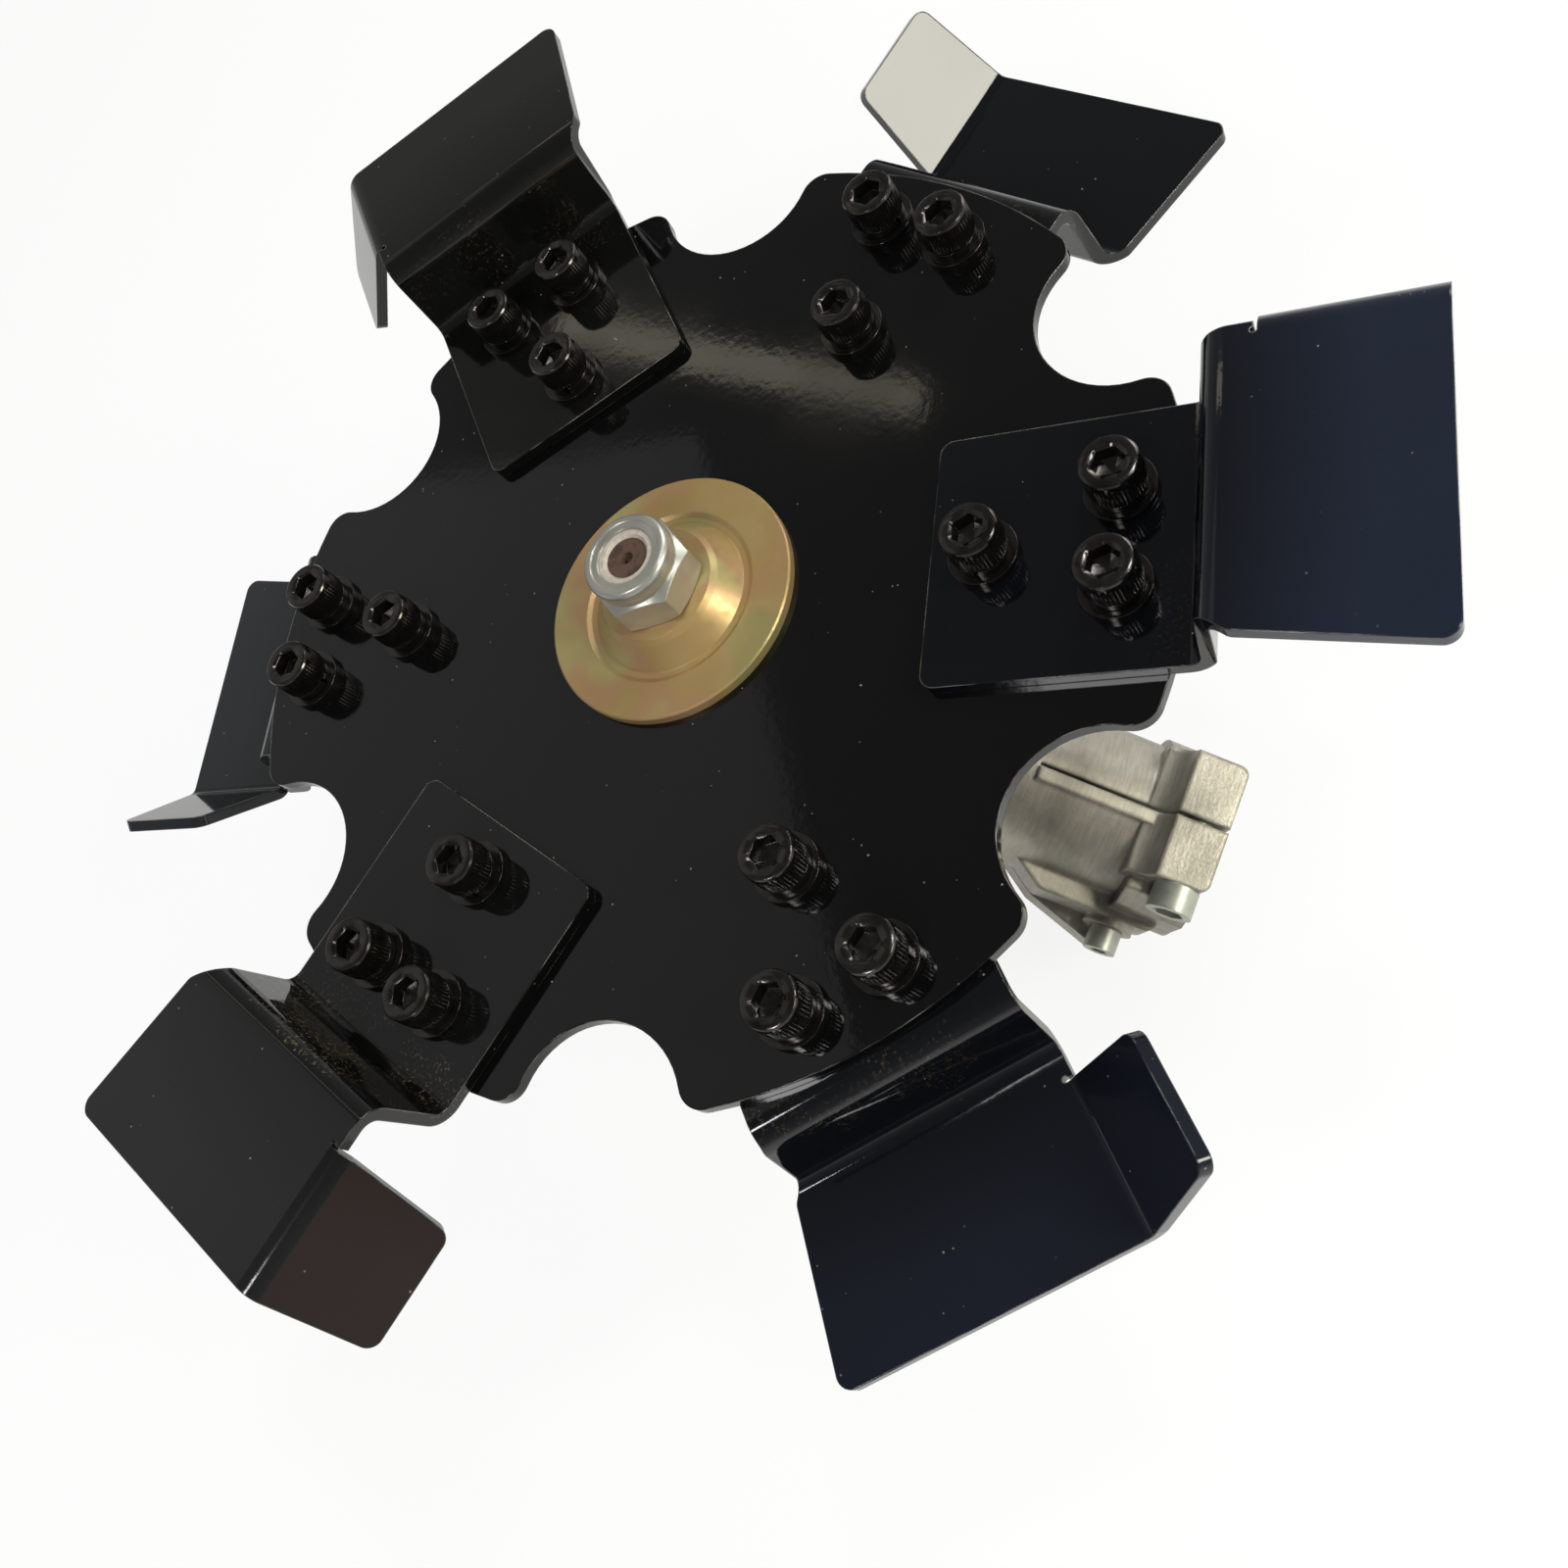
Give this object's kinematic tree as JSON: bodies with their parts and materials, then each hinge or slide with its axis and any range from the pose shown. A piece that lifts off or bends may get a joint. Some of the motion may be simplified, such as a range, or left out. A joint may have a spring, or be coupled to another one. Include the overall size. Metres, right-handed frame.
{
  "type": "brush cutter ditching blade",
  "caption": "Brush cutter ditching blade: notched steel disc with folded blades bolted above and below it, on an angled gear head with a split clamp for the pole.",
  "frame": {"origin": "On the pole's axis, in the middle of the split clamp of the gear head.", "axes": "+Z runs along the output shaft from the gear head towards the lock nut; the pole leaves the socket along -Y and 30 degrees below the wheel's plane; +X completes a right-handed frame."},
  "size_m": [0.2706, 0.268, 0.1121],
  "materials": {
    "black_paint": "gloss powder coat over folded sheet steel, dusty, with rubbed edges",
    "black_oxide": "black oxide on turned steel, semi-gloss",
    "zinc_yellow": "yellow passivated zinc, iridescent",
    "zinc_bright": "bright zinc plate",
    "nylon": "natural nylon",
    "oiled_steel": "turned steel browned by oil and light rust",
    "ground_steel": "ground bearing and gear steel",
    "cast_alloy": "sand-cast aluminium, tumbled, warm grey",
    "seal_rubber": "moulded nitrile rubber"
  },
  "bodies": {
    "gear_head": {"front_bearing_outer": "ground_steel", "rear_bearing_outer": "ground_steel", "input_bearing_outer": "ground_steel", "output_circlip": "ground_steel", "input_circlip": "ground_steel", "output_seal": "seal_rubber", "housing": "cast_alloy", "clamp_screw": "zinc_bright", "locating_screw": "zinc_bright", "grease_plug": "zinc_bright"},
    "wheel": {"disc": "black_paint", "upper_blade_1": "black_paint", "upper_blade_2": "black_paint", "upper_blade_3": "black_paint", "lower_blade_1": "black_paint", "lower_blade_2": "black_paint", "lower_blade_3": "black_paint", "cap_screws": "black_oxide", "spring_washers": "black_oxide", "flat_washers": "black_oxide", "hex_nuts": "black_oxide", "clamping_washer": "zinc_yellow", "lock_nut": "zinc_bright", "nylon_ring": "nylon", "output_shaft": "oiled_steel", "drive_flange": "ground_steel", "driven_gear": "ground_steel", "front_bearing_inner": "ground_steel", "rear_bearing_inner": "ground_steel"},
    "pinion": {"input_pinion": "ground_steel", "input_bearing_inner": "ground_steel"}
  },
  "joints": [
    {"name": "wheel_spin", "type": "hinge", "parent": "gear_head", "child": "wheel", "pos_m": [0, 0.07621, 0.044], "axis": [0, 0, 1], "continuous": true},
    {"name": "pinion_spin", "type": "hinge", "parent": "gear_head", "child": "pinion", "pos_m": [0, 0.07621, 0.044], "axis": [0, -0.866, -0.5], "continuous": true}
  ],
  "couplings": [
    {"joint": "pinion_spin", "follows": "wheel_spin", "ratio": 1.3571}
  ]
}
